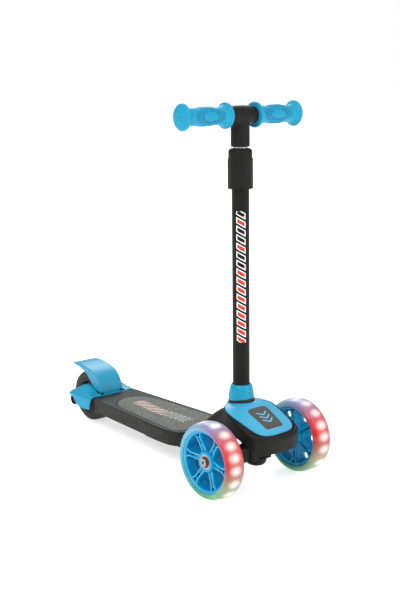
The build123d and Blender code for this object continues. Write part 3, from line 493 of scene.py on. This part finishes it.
# front cover: the blue plastic painted lighter, a painted sheen for its upward-tilted top
M["cover"] = plastic("cover_plastic_painted_sheen", srgb(50, 156, 192), 0.34, 1100, 0.00003, 0.04, 0.0018, 0.5)
M["dark_steel"] = metal("blackened_steel", srgb(62, 62, 60), 0.38)
M["grip"] = plastic("grip_rubber", srgb(20, 142, 178), 0.50, 1400, 0.00004, 0.04, 0.0, 0.26)
M["black"] = plastic("black_plastic", srgb(26, 26, 23), 0.46, 1300, 0.00006, 0.12, 0.0018, 0.14)
M["seal"] = plastic("collar_seal", srgb(14, 16, 18), 0.5, 1300, 0.00004, 0.1, 0.0006)
M["nylon"] = plastic("nylon", srgb(226, 226, 218), 0.5, 900, 0.00003, 0.03, 0.0004)
M["pad"] = plastic("brake_pad", srgb(34, 33, 32), 0.75, 700, 0.00015, 0.2, 0.0006, 0.3)
M["rear_black"] = plastic("rear_hub", srgb(26, 26, 24), 0.42, 900, 0.00003, 0.08, 0.0008, 0.2)
M["rear_tyre"] = plastic("rear_tyre", srgb(38, 39, 35), 0.5, 700, 0.00005, 0.08, 0.0008, 0.2)
M["steel"] = metal("zinc_steel", srgb(190, 192, 194), 0.34)
M["spring"] = metal("spring_steel", srgb(150, 150, 152), 0.3)
M["chrome"] = metal("bright_steel", srgb(150, 150, 150), 0.24)

m = M["grip"]
# painted shade: the grip darker deep blue between its ribs
m.color(m.mix(m.mul(m.attr("painted_groove_shade"), 0.9), mottle(m, srgb(20, 142, 178), 0.04), srgb(6, 104, 142)))

# front hubs: raised ribs and rim lip painted pale as painted highlight; dished pockets, slots and inner spoke channels
# painted deeper blue as painted shade
m = M["hub"] = Mat("hub_plastic")
painted_shading = m.attr("painted_shading")
base = m.ramp(painted_shading, [(0.0, srgb(0, 56, 88)), (0.12, srgb(0, 86, 130)), (0.35, srgb(0, 118, 170)), (0.6, srgb(0, 138, 186)),
                     (0.8, srgb(20, 152, 198)), (1.0, srgb(84, 184, 218))])
m.color(m.mix(m.mapr(m.noise(40.0, 3.0), 0.3, 0.7, 0.0, 0.10), base, srgb(0, 84, 132)))
m.rough(m.mapr(m.noise(150.0, 3.0), 0.3, 0.7, 0.28, 0.38))
m.p.inputs["Specular IOR Level"].default_value = 0.30
m.normal(m.bump(m.noise(1000.0, 2.0), 0.3, 0.00002))

# bearing seals: red-brown ring inside a steel race
m = M["bearing"] = Mat("bearing_seal")
x, y, z = m.xyz()
rf = m.math("POWER", m.add(m.math("POWER", m.sub(y, FA), 2.0), m.math("POWER", m.sub(z, 0.06), 2.0)), 0.5)
k = m.mul(m.step(rf, 0.0058, 0.0062), m.step(rf, 0.0098, 0.0093))
m.color(m.mix(k, m.mix(m.noise(500.0), srgb(150, 146, 142), srgb(200, 198, 194)), m.mix(m.noise(300.0), srgb(120, 38, 26), srgb(160, 62, 42))))
m.rough(m.mapr(k, 0, 1, 0.28, 0.5))
m.link(m.mapr(k, 0, 1, 1.0, 0.1), m.p.inputs["Metallic"])
m.normal(m.bump(m.noise(900.0, 2.0), 0.2, 0.00003, m.bevel(0.0003)))

# rear bearings sit about the rear axle
m = M["rear_bearing"] = Mat("rear_bearing_seal")
x, y, z = m.xyz()
rf = m.math("POWER", m.add(m.math("POWER", m.sub(y, RA), 2.0), m.math("POWER", m.sub(z, 0.046), 2.0)), 0.5)
k = m.mul(m.step(rf, 0.0058, 0.0062), m.step(rf, 0.0098, 0.0093))
m.color(m.mix(k, srgb(176, 176, 174), m.mix(m.noise(300.0), srgb(30, 30, 30), srgb(44, 42, 40))))
m.rough(m.mapr(k, 0, 1, 0.28, 0.5))
m.link(m.mapr(k, 0, 1, 1.0, 0.1), m.p.inputs["Metallic"])
m.normal(m.bump(m.noise(900.0, 2.0), 0.2, 0.00003, m.bevel(0.0003)))


# translucent tyres lit from within: hue runs round the wheel, with a bright spot at each lamp
def tyre_mat(name, cx_mm, lamps):
    m = Mat(name)
    x, y, z = m.xyz()
    dy, dz = m.mul(m.sub(y, FA), -1.0), m.sub(z, 0.06)
    ang = m.math("ARCTAN2", dz, dy)
    rad = m.math("POWER", m.add(m.mul(dy, dy), m.mul(dz, dz)), 0.5)
    fac = m.mapr(ang, -math.pi, math.pi, 0.0, 1.0)

    def at(deg):
        return (deg + 180.0) / 360.0
    stops = [(-180, (62, 158, 186)), (-150, (34, 144, 156)), (-122, (22, 140, 112)), (-100, (40, 138, 92)), (-80, (80, 146, 106)),
             (-60, (104, 152, 112)), (-40, (120, 146, 108)), (-25, (132, 132, 98)), (-10, (148, 84, 62)), (3, (158, 34, 30)), (16, (186, 6, 16)),
             (30, (192, 4, 20)), (45, (176, 34, 60)), (58, (150, 74, 110)), (72, (128, 108, 154)), (90, (122, 134, 166)), (112, (118, 156, 182)),
             (138, (88, 160, 190)), (180, (62, 158, 186))]
    glow = m.ramp(fac, [(at(d), srgb(*c)) for d, c in stops])
    # a broad soft glow over each lamp; below, noise clouds the tyre and a painted sheen makes the crown paler than the
    # shoulders
    halos = None
    for d in lamps:
        a = math.radians(d)
        diff = m.math("ABSOLUTE", m.sub(ang, a))
        diff = m.math("MINIMUM", diff, m.sub(2 * math.pi, diff))
        arc = m.mul(diff, 0.0575)
        ax = m.sub(x, cx_mm * 0.001)
        q = m.add(m.mul(arc, arc), m.mul(m.mul(ax, ax), 0.55))
        q = m.math("POWER", q, 0.5)
        h = m.step(q, 0.0106, 0.0004)
        halos = h if halos is None else m.math("MAXIMUM", halos, h)
    # painted sheen: the crown whitened towards the tread
    painted_crown_sheen = m.mul(m.step(rad, 0.0560, 0.0604), 0.10)
    milky_and_sheen = m.add(m.mapr(m.noise(60.0, 3.0), 0.3, 0.7, 0.0, 0.07), painted_crown_sheen)
    col = m.mix(milky_and_sheen, glow, srgb(236, 226, 220))
    col = m.mix(m.mul(m.step(rad, 0.0522, 0.0492), 0.30), col, srgb(96, 168, 200))
    col = m.mix(m.mul(halos, 0.84), col, srgb(242, 222, 216))
    m.color(col)
    m.link(col, m.p.inputs["Emission Color"])
    m.link(m.add(m.mul(halos, 0.13), 0.03), m.p.inputs["Emission Strength"])
    m.rough(m.mapr(m.noise(180.0), 0.3, 0.7, 0.26, 0.36))
    m.set(IOR=1.45)
    m.p.inputs["Specular IOR Level"].default_value = 0.35
    m.normal(m.bump(m.noise(500.0, 2.0), 0.12, 0.00003))
    return m


M["tyre_right"] = tyre_mat("lit_tyre_right", -95.8, [78, 56, 37, 19, 0, -21, -43, -64, -86, -108, -131, -155, 180, 156, 130, 104])
M["tyre_left"] = tyre_mat("lit_tyre_left", 92.4, [94, 72, 50, 29, 11, -9, -34, -58, -82, -107, -132, -157, 176, 148, 120])

# stem tube: powder coat with a printed band of slanted dashes, hollow above and filled below
m = M["tube"] = Mat("stem_powder_coat")
x, y, z = m.xyz()
axis_y = m.add(m.mul(z, math.tan(LEAN)), TUBE_Y0)
ang = m.math("ARCTAN2", m.mul(m.sub(y, axis_y), -1.0), m.mul(x, -1.0))
u = m.mul(m.sub(ang, math.atan2(0.745, 0.633)), 0.0134)
t = m.math("FRACT", m.math("DIVIDE", m.add(z, m.mul(u, 0.55)), 0.0131))
au = m.math("ABSOLUTE", u)
outer = m.mul(m.mul(m.step(t, 0.04, 0.08), m.step(t, 0.80, 0.76)), m.step(au, 0.0076, 0.0073))
inner = m.mul(m.mul(m.step(t, 0.17, 0.21), m.step(t, 0.67, 0.63)), m.step(au, 0.0060, 0.0057))
zone = m.mul(m.step(z, 0.2245, 0.2250), m.step(z, 0.4290, 0.4285))
high = m.step(z, 0.3340, 0.3345)
t3 = m.math("FRACT", m.math("DIVIDE", m.sub(z, 0.2245), 0.0393))
redone = m.step(t3, 0.66, 0.67)
coat = mottle(m, srgb(20, 20, 18), 0.08, 40.0)
fill_high = m.mix(redone, coat, RED)
fill = m.mix(high, RED, fill_high)
wear = m.step(m.noise(420.0, 3.0), 0.24, 0.34)
c1 = m.mix(m.mul(m.mul(outer, zone), wear), coat, WHITE)
m.color(m.mix(m.mul(inner, zone), c1, fill))
m.rough(m.mapr(m.noise(220.0, 3.0), 0.3, 0.7, 0.40, 0.52))
m.p.inputs["Specular IOR Level"].default_value = 0.14
m.normal(m.bump(m.noise(1500.0, 2.0), 0.4, 0.00005, m.bevel(0.0008)))

# badge plate: dark gloss with three pale chevrons pointing forward
m = M["badge"] = Mat("badge_plate")
x, y, z = m.xyz()
v = m.sub(m.sub(y, FA - 0.033), m.mul(m.math("ABSOLUTE", x), 0.62))
t = m.math("FRACT", m.math("DIVIDE", v, 0.0074))
chev = m.mul(m.mul(m.step(t, 0.10, 0.16), m.step(t, 0.52, 0.46)), m.mul(m.step(m.math("ABSOLUTE", x), 0.0102, 0.0098), m.mul(m.step(v, -0.0002, 0.0), m.step(v, 0.0220, 0.0218))))
m.color(m.mix(chev, mottle(m, srgb(62, 61, 58), 0.05, 24.0), srgb(96, 172, 200)))
m.rough(m.mapr(m.noise(160.0), 0.3, 0.7, 0.24, 0.34))
m.normal(m.bump(m.add(m.mul(m.noise(900.0, 2.0), 0.3), m.mul(chev, 1.5)), 0.22, 0.00004, m.bevel(0.0008)))

# deck mat: grainy rubber with a printed row of slanted strokes, pink at the tail and white at the front
m = M["mat"] = Mat("deck_mat_rubber")
x, y, z = m.xyz()
g1 = m.noise(520.0, 4.0, 0.62)
g2 = m.voronoi(430.0)
grain = m.add(m.mul(g1, 0.7), m.mul(g2, 0.45))
base = m.ramp(grain, [(0.30, srgb(52, 54, 51)), (0.5, srgb(84, 86, 82)), (0.70, srgb(122, 125, 120))])
base = m.mix(m.mapr(m.noise(18.0, 2.0), 0.3, 0.7, 0.0, 0.22), base, srgb(80, 81, 78))
s = m.math("DIVIDE", m.add(m.sub(y, FA + 0.172), m.mul(x, 0.55)), 0.0104)
t = m.math("FRACT", s)
w1 = m.mul(m.math("SINE", m.mul(y, 52.0)), 0.0022)
ax = m.math("ABSOLUTE", m.add(x, w1))
yz = m.mul(m.step(y, FA + 0.168, FA + 0.170), m.step(y, FA + 0.312, FA + 0.310))
stroke = m.mul(m.mul(m.step(t, 0.14, 0.22), m.step(t, 0.66, 0.58)), m.mul(m.step(ax, 0.0122, 0.0112), yz))
core = m.mul(m.mul(m.step(t, 0.27, 0.31), m.step(t, 0.53, 0.49)), m.mul(m.step(ax, 0.0100, 0.0094), yz))
front = m.step(y, FA + 0.236, FA + 0.226)
line = m.mix(front, stroke, m.mul(m.sub(stroke, core), 1.0))
ink = m.mix(front, srgb(232, 200, 192), srgb(224, 222, 216))
broken = m.step(m.noise(900.0, 3.0), 0.30, 0.46)
m.color(m.mix(m.mul(m.mul(line, broken), 0.85), base, ink))
m.rough(m.mapr(g1, 0.3, 0.7, 0.62, 0.86))
m.p.inputs["Specular IOR Level"].default_value = 0.22
m.normal(m.bump(grain, 0.85, 0.00035, m.bevel(0.0004)))

# deck moulding: satin black, with painted shade making the upward faces a little bluer and darker
def y_of(mm):
    return mm.xyz()[1]


def z_of(mm):
    return mm.xyz()[2]


m = M["deck"] = Mat("deck_plastic")
geo = m.n("ShaderNodeNewGeometry")
nx, ny, nz = m.xyz(geo.outputs["True Normal"])
top = m.step(nz, 0.80, 0.95)
low = m.mapr(z_of(m), 0.036, 0.058, 1.0, 0.0)
lean = m.mul(m.math("POWER", low, 1.6), 0.014)
along = m.add(m.sub(y_of(m), FA + 0.170), lean)
seam = m.math("ABSOLUTE", m.sub(m.math("FRACT", m.math("DIVIDE", along, 0.0455)), 0.5))
seam = m.mul(m.step(seam, 0.046, 0.026), m.mul(m.mul(m.step(nz, 0.55, 0.35), m.step(along, 0.0, 0.004)), m.step(along, 0.190, 0.186)))
# painted shade: upward faces tinted darker and bluer
painted_shade_base = m.mix(top, mottle(m, srgb(24, 24, 22), 0.10, 22.0), mottle(m, srgb(13, 16, 17), 0.10, 22.0))
# painted shade: a dark band on the deck top round the mat, following its outline, standing in for the shadow in the
# recess gap
axm = m.mul(m.math("ABSOLUTE", m.xyz()[0]), 1000.0)
ym = m.mul(m.sub(y_of(m), FA), 1000.0)
flank = m.sub(axm, m.sub(50.9 + 0.0716 * 164, m.mul(ym, 0.0716)))
vv = m.math("POWER", m.mul(axm, 1 / 39.6), 1.8)
uu = m.math("POWER", m.mul(m.math("MAXIMUM", m.sub(ym, 312.0), 0.0), 1 / 31.4), 1.8)
round_end = m.mul(m.sub(m.math("POWER", m.add(vv, uu), 1 / 1.8), 1.0), 33.0)
tail = m.step(ym, 311.5, 312.5)
off = m.add(m.mul(flank, m.sub(1.0, tail)), m.mul(round_end, tail))
painted_gap_shade = m.mul(m.mul(m.step(off, 2.5, 1.7), m.step(ym, 150.0, 160.0)), top)
painted_shade_base = m.mix(m.mul(painted_gap_shade, 0.9), painted_shade_base, srgb(3, 3, 3))
m.color(m.mix(m.mul(seam, 0.9), painted_shade_base, srgb(3, 3, 3)))
m.rough(m.mapr(m.noise(120.0, 3.0), 0.3, 0.7, 0.40, 0.52))
m.p.inputs["Specular IOR Level"].default_value = 0.20
m.normal(m.bump(m.sub(m.mul(m.noise(1300.0, 2.0), 0.1), seam), 0.5, 0.0006, m.bevel(0.0018)))

# brake fender: faint ladder of rungs near the tip
m = M["fender"] = Mat("fender_plastic")
x, y, z = m.xyz()
t = m.math("FRACT", m.math("DIVIDE", m.sub(y, FA + 0.404), 0.0078))
rung = m.mul(m.mul(m.step(t, 0.10, 0.20), m.step(t, 0.62, 0.52)),
             m.mul(m.step(m.math("ABSOLUTE", m.sub(m.math("ABSOLUTE", x), 0.0078)), 0.0056, 0.0050), m.mul(m.step(y, FA + 0.4105, FA + 0.4115), m.step(y, FA + 0.4610, FA + 0.4600))))
m.color(m.mix(m.mul(rung, 0.10), mottle(m, srgb(16, 142, 176), 0.04), srgb(96, 190, 222)))
m.rough(m.mapr(m.noise(140.0, 3.0), 0.3, 0.7, 0.34, 0.45))
m.set(IOR=1.48)
m.normal(m.bump(m.add(m.mul(rung, 6.0), m.noise(1100.0, 2.0)), 0.30, 0.00007, m.bevel(0.0016)))

FINISH = {}
for a in ("right", "left"):
    FINISH.update({"grip_" + a: "grip", "steering_knuckle_" + a: "black", "tie_rod_pin_" + a: "steel", "front_hub_" + a: "hub",
                   "front_tyre_" + a: "tyre_" + a, "led_ring_" + a: "nylon", "front_bearings_" + a: "bearing",
                   "front_axle_bolt_" + a: "chrome", "axle_spacer_" + a: "steel", "magnet_core_" + a: "steel"})
FINISH.update({"handlebar_tee": "black", "crossbar": "steel", "inner_tube": "steel", "guide_bush": "nylon", "tee_screw": "steel",
               "clamp_collar": "black", "clamp_lever": "black", "lever_pin": "steel", "clamp_screw": "steel", "clamp_nut": "steel",
               "outer_tube": "tube", "stem_collar": "blue", "collar_seal": "seal", "lock_button": "black", "button_spring": "spring",
               "front_housing": "black", "front_cover": "cover", "badge_plate": "badge", "cover_screws": "steel",
               "steering_ball_pin": "steel", "lean_pivot_bolt": "steel", "truck_beam": "black", "lean_bushings": "pad",
               "kingpins": "steel", "tie_rod": "steel", "deck": "deck", "deck_mat": "mat", "deck_screws": "steel",
               "rear_cover": "blue", "rear_cover_screws": "steel", "brake_fender": "fender", "brake_pad": "pad",
               "brake_pivot_pin": "steel", "brake_spring": "spring", "rear_tyre": "rear_tyre", "rear_hub": "rear_black",
               "rear_bearings": "rear_bearing", "rear_axle_bolt": "dark_steel", "rear_axle_nut": "dark_steel", "rear_spacers": "steel"})


def paint(o, m):
    o.data.materials.clear()
    o.data.materials.append(m.m if isinstance(m, Mat) else m)


for k, o in N.items():
    paint(o, M[FINISH[k]])


def stand_in(o, node, body, mat):
    paint(o, M[mat])
    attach(o, body)
    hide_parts(node)


for a, sgn, s0 in (("right", -1, 115.0), ("left", 1, 93.0)):
    stand_in(make_hub("wheel_centre_" + a, sgn, s0), "front_hub_" + a, "wheel_" + a, "hub")
    stand_in(make_tyre("lit_tyre_" + a, sgn), "front_tyre_" + a, "wheel_" + a, "tyre_" + a)
    stand_in(make_grip("ribbed_grip_" + a, sgn), "grip_" + a, "handlebar", "grip")

# front housing: the head swells below its rim to a rounded shoulder at the front corners
def swell_housing():
    me = N["front_housing"].data.copy()
    o = bpy.data.objects.new("front_housing_shell", me)
    bpy.context.scene.collection.objects.link(o)
    bm = bmesh.new()
    bm.from_mesh(me)
    bmesh.ops.remove_doubles(bm, verts=bm.verts, dist=1e-6)
    nrm = Vector((0, -0.37, 1)).normalized()
    for d in (0.4, 0.9, 1.6, 2.5, 3.6, 5.0, 6.9, 10.0, 15.0):
        geom = [g for g in bm.verts[:] + bm.edges[:] + bm.faces[:]]
        bmesh.ops.bisect_plane(bm, geom=geom, dist=1e-7, plane_co=(0, FA - 0.001, (114.4 - d) * MM), plane_no=nrm)
    for yy in (-46, -38, -30, -22, -14, -6, 2, 10):
        geom = [g for g in bm.verts[:] + bm.edges[:] + bm.faces[:]]
        bmesh.ops.bisect_plane(bm, geom=geom, dist=1e-7, plane_co=(0, FA + yy * MM, 0), plane_no=(0, 1, 0))
    for v in bm.verts:
        x, y, z = v.co.x * 1000, (v.co.y - FA) * 1000, v.co.z * 1000
        drop = 114.4 + 0.37 * (y + 1) - z
        if y > 10 or drop < 0.4 or drop > 40 or (abs(x) < 24 and y > -30):
            continue
        t = min(1.0, (drop - 0.4) / 6.5)
        f = math.sqrt(1 - (1 - t) ** 2)
        gx = math.copysign(smooth((abs(x) - 17) / 24), x) * lerp_list([(-30, 0.95), (-17, 0.66), (-1, 0.26), (10, 0.0)], y)
        gy = -0.655 * smooth((-27 - y) / 15)
        v.co.x += 7.2 * f * gx * MM
        v.co.y += 7.2 * f * gy * MM
        v.co.z -= 4.2 * MM * smooth((drop - 12) / 8) * smooth((-14 - y) / 20)
    bm.to_mesh(me)
    bm.free()
    me.shade_smooth()
    me.set_sharp_from_angle(angle=math.radians(32))
    return o


stand_in(swell_housing(), "front_housing", "frame", "black")

# ================================================================ camera, light, floor
cam_d = bpy.data.cameras.new("camera")
cam = bpy.data.objects.new("camera", cam_d)
bpy.context.scene.collection.objects.link(cam)
fwd = Vector((0.63345, 0.745122, -0.208651)).normalized()
right = Vector((0.761891, -0.647706, 0.0)).normalized()
up = right.cross(fwd).normalized()
mw = Matrix((right, up, -fwd)).transposed().to_4x4()
mw.translation = Vector((-1.135704, -1.412765, 0.647351))
cam.matrix_world = mw
cam_d.sensor_width = 36.0
cam_d.lens = 1107.647 / 600.0 * 36.0
cam_d.clip_end = 50.0
bpy.context.scene.camera = cam

fl = bpy.data.meshes.new("floor")
bm = bmesh.new()
bmesh.ops.create_grid(bm, x_segments=8, y_segments=8, size=12.0)
bm.to_mesh(fl)
bm.free()
floor = bpy.data.objects.new("floor", fl)
floor.location = (0, 0, -0.0002)
bpy.context.scene.collection.objects.link(floor)
fm = Mat("floor")
fm.color(fm.mix(fm.noise(3.0, 2.0), (0.86, 0.86, 0.86, 1), (0.88, 0.88, 0.88, 1)))
fm.set(Emission_Color=(1, 1, 1, 1), Emission_Strength=0.62)
fm.rough(0.9)
paint(floor, fm)


def area(name, loc, aim, size, watts, col=(1, 1, 1)):
    d = bpy.data.lights.new(name, "AREA")
    d.shape = "RECTANGLE"
    d.size, d.size_y = size
    d.energy = watts
    d.color = col
    o = bpy.data.objects.new(name, d)
    o.location = loc
    o.rotation_euler = (Vector(aim) - Vector(loc)).to_track_quat("-Z", "Y").to_euler()
    bpy.context.scene.collection.objects.link(o)
    return o


area("key", (-2.2, -0.8, 2.4), (0, 0, 0.2), (1.4, 1.4), 50)
area("front", (0.8, -2.6, 1.3), (0, -0.1, 0.2), (1.4, 1.2), 22)
area("rim", (1.6, 1.8, 2.0), (0, 0, 0.3), (1.4, 1.4), 30)
w = bpy.data.worlds.new("world")
bpy.context.scene.world = w
w.use_nodes = True
bg = w.node_tree.nodes["Background"]
wt = w.node_tree
sky = wt.nodes.new("ShaderNodeTexCoord")
sep = wt.nodes.new("ShaderNodeSeparateXYZ")
grad = wt.nodes.new("ShaderNodeMapRange")
grad.inputs[1].default_value, grad.inputs[2].default_value = 0.0, 1.0
grad.inputs[3].default_value, grad.inputs[4].default_value = 0.10, 1.15
wt.links.new(sky.outputs["Generated"], sep.inputs[0])
wt.links.new(sep.outputs[2], grad.inputs[0])
bg.inputs[0].default_value = (1.0, 1.0, 1.0, 1)
wt.links.new(grad.outputs[0], bg.inputs[1])
bg2 = wt.nodes.new("ShaderNodeBackground")
bg2.inputs[0].default_value = (1.0, 1.0, 1.0, 1)
bg2.inputs[1].default_value = 1.0
ray = wt.nodes.new("ShaderNodeLightPath")
ws = wt.nodes.new("ShaderNodeMixShader")
wt.links.new(ray.outputs["Is Camera Ray"], ws.inputs[0])
wt.links.new(bg.outputs[0], ws.inputs[1])
wt.links.new(bg2.outputs[0], ws.inputs[2])
wt.links.new(ws.outputs[0], wt.nodes["World Output"].inputs["Surface"])
bpy.context.scene.view_settings.view_transform = "Standard"
bpy.context.scene.view_settings.look = "None"
